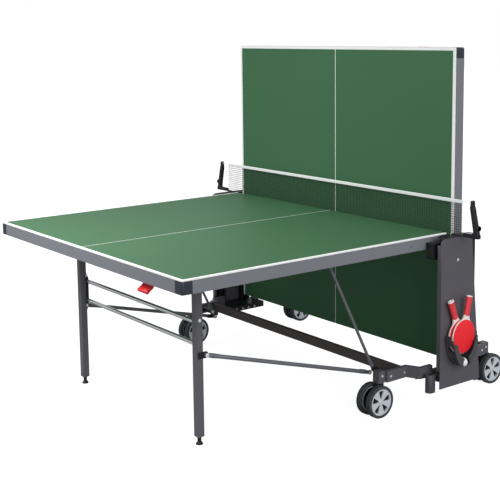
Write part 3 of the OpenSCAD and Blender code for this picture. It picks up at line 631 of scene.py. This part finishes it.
# The rubber is dull and pebbled at 1.6 mm; the blade, caps and celluloid ball are smooth and glossier.
holder_grey = moulded_plastic("moulded_abs_grey", "#4c4b50", roughness=0.44)
bat_body = moulded_plastic("moulded_bat_body", "#fff1ef", roughness=0.35, depth=0.01)
bat_red = moulded_plastic("moulded_bat_rubber", "#ff202e", roughness=0.5, grain_mm=1.6, depth=0.08)
grip_red = moulded_plastic("moulded_grip_red", "#e83c4a", roughness=0.45)
cap_white = moulded_plastic("moulded_cap_white", "#f6f3f2", roughness=0.35, depth=0.01)
ball_white = moulded_plastic("celluloid_white", "#ffffff", roughness=0.25, depth=0.0)
dress(holder_grey, "bat_holder")
ease_edges(0.0015, "bat_holder")
dress(ball_white, "ball")

BLADE_WIDE, BLADE_LONG, BLADE_THICK, RUBBER_THICK, RIM = 0.136, 0.150, 0.006, 0.0035, 0.0025
HOLDER_Y, BAT_Z = -0.018, 0.330
bats = {"front": (0.876, BAT_Z, -12), "back": (0.857, BAT_Z - 0.006, 20)}
NECK_FROM, NECK_LONG, NECK_HALF_WIDE, SHOULDER = 0.050, 0.044, 0.0145, 0.035
GRIP_FROM, GRIP_TO, RIBS, OVAL = 0.089, 0.171, 11, 0.70
RIB_PITCH = (GRIP_TO - GRIP_FROM) / RIBS


def disc(shape, width, length, thick, x):
    """An oval sheet that faces along X."""
    made = bmesh.ops.create_cone(shape, cap_ends=True, segments=72, radius1=0.5, radius2=0.5,
                                 depth=1)["verts"]
    bmesh.ops.rotate(shape, cent=(0, 0, 0), matrix=Matrix.Rotation(math.radians(90), 3, "Y"), verts=made)
    bmesh.ops.scale(shape, vec=(thick, width, length), verts=made)
    bmesh.ops.translate(shape, vec=(x, 0, 0), verts=made)
    return made


def round_rims(shape, offset):
    """Rounds the edges where two faces meet sharply."""
    sharp = [e for e in shape.edges if len(e.link_faces) == 2 and e.calc_face_angle() > 0.6]
    bmesh.ops.bevel(shape, geom=sharp, affect="EDGES", offset=offset, segments=2, profile=0.5,
                    material=-1)


for name, (x, z, lean) in bats.items():
    stand = Matrix.Translation((x, NET_Y + HOLDER_Y, z)) @ Matrix.Rotation(math.radians(lean), 4, "X")
    body = f"bat_{name}"

    neck = bmesh.new()
    bmesh.ops.create_cube(neck, size=1)
    upright = [e for e in neck.edges if abs(e.verts[0].co.z - e.verts[1].co.z) > 0.9]
    bmesh.ops.subdivide_edges(neck, edges=upright, cuts=12)
    for v in neck.verts:
        share = v.co.z + 0.5
        half_wide = NECK_HALF_WIDE + SHOULDER * (1 - share) ** 2.2
        v.co = (v.co.x * (BLADE_THICK + 0.003), math.copysign(half_wide, v.co.y),
                NECK_FROM + NECK_LONG * share)
    round_rims(neck, 0.0015)
    neck_mesh = bpy.data.meshes.new("neck")
    neck.to_mesh(neck_mesh)
    neck.free()
    shape = bmesh.new()
    disc(shape, BLADE_WIDE, BLADE_LONG, BLADE_THICK, 0)
    round_rims(shape, 0.0018)
    shape.from_mesh(neck_mesh)
    bpy.data.meshes.remove(neck_mesh)
    bmesh.ops.transform(shape, matrix=stand, verts=shape.verts)
    blade = finished(f"bat_{name}_blade", shape, bat_body, body)

    shape = bmesh.new()
    for side in (-1, 1):
        disc(shape, BLADE_WIDE - 2 * RIM, BLADE_LONG - 2 * RIM, RUBBER_THICK,
             side * (BLADE_THICK + RUBBER_THICK) / 2)
    round_rims(shape, 0.0007)
    bmesh.ops.transform(shape, matrix=stand, verts=shape.verts)
    rubber = finished(f"bat_{name}_rubber", shape, bat_red, body)
    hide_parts(f"bat_{name}_rubbers")

    shape = bmesh.new()
    outline = [(0, GRIP_FROM), (0.0125, GRIP_FROM)]
    for i in range(RIBS):
        crest = 0.0148 + 0.0014 * (i / (RIBS - 1)) ** 2
        rib = [(crest - 0.0007, 0.12), (crest, 0.35), (crest, 0.65), (crest - 0.0007, 0.88)]
        outline += [(radius, GRIP_FROM + RIB_PITCH * (i + share)) for radius, share in rib]
    outline += [(0.0150, GRIP_TO), (0, GRIP_TO)]
    turned_on_lathe(shape, outline, (0, 0, 0), (0, 0, 1), steps=36, squash=OVAL)
    bmesh.ops.transform(shape, matrix=stand, verts=shape.verts)
    finished(f"bat_{name}_grip", shape, grip_red, body)

    shape = bmesh.new()
    turned_on_lathe(shape, [(0, GRIP_TO), (0.0158, GRIP_TO), (0.0163, GRIP_TO + 0.002),
                            (0.0153, GRIP_TO + 0.0045), (0.006, GRIP_TO + 0.0052),
                            (0.0045, GRIP_TO + 0.0035), (0, GRIP_TO + 0.003)],
                    (0, 0, 0), (0, 0, 1), steps=36, squash=OVAL)
    bmesh.ops.transform(shape, matrix=stand, verts=shape.verts)
    finished(f"bat_{name}_cap", shape, cap_white, body)
    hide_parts(f"bat_{name}")
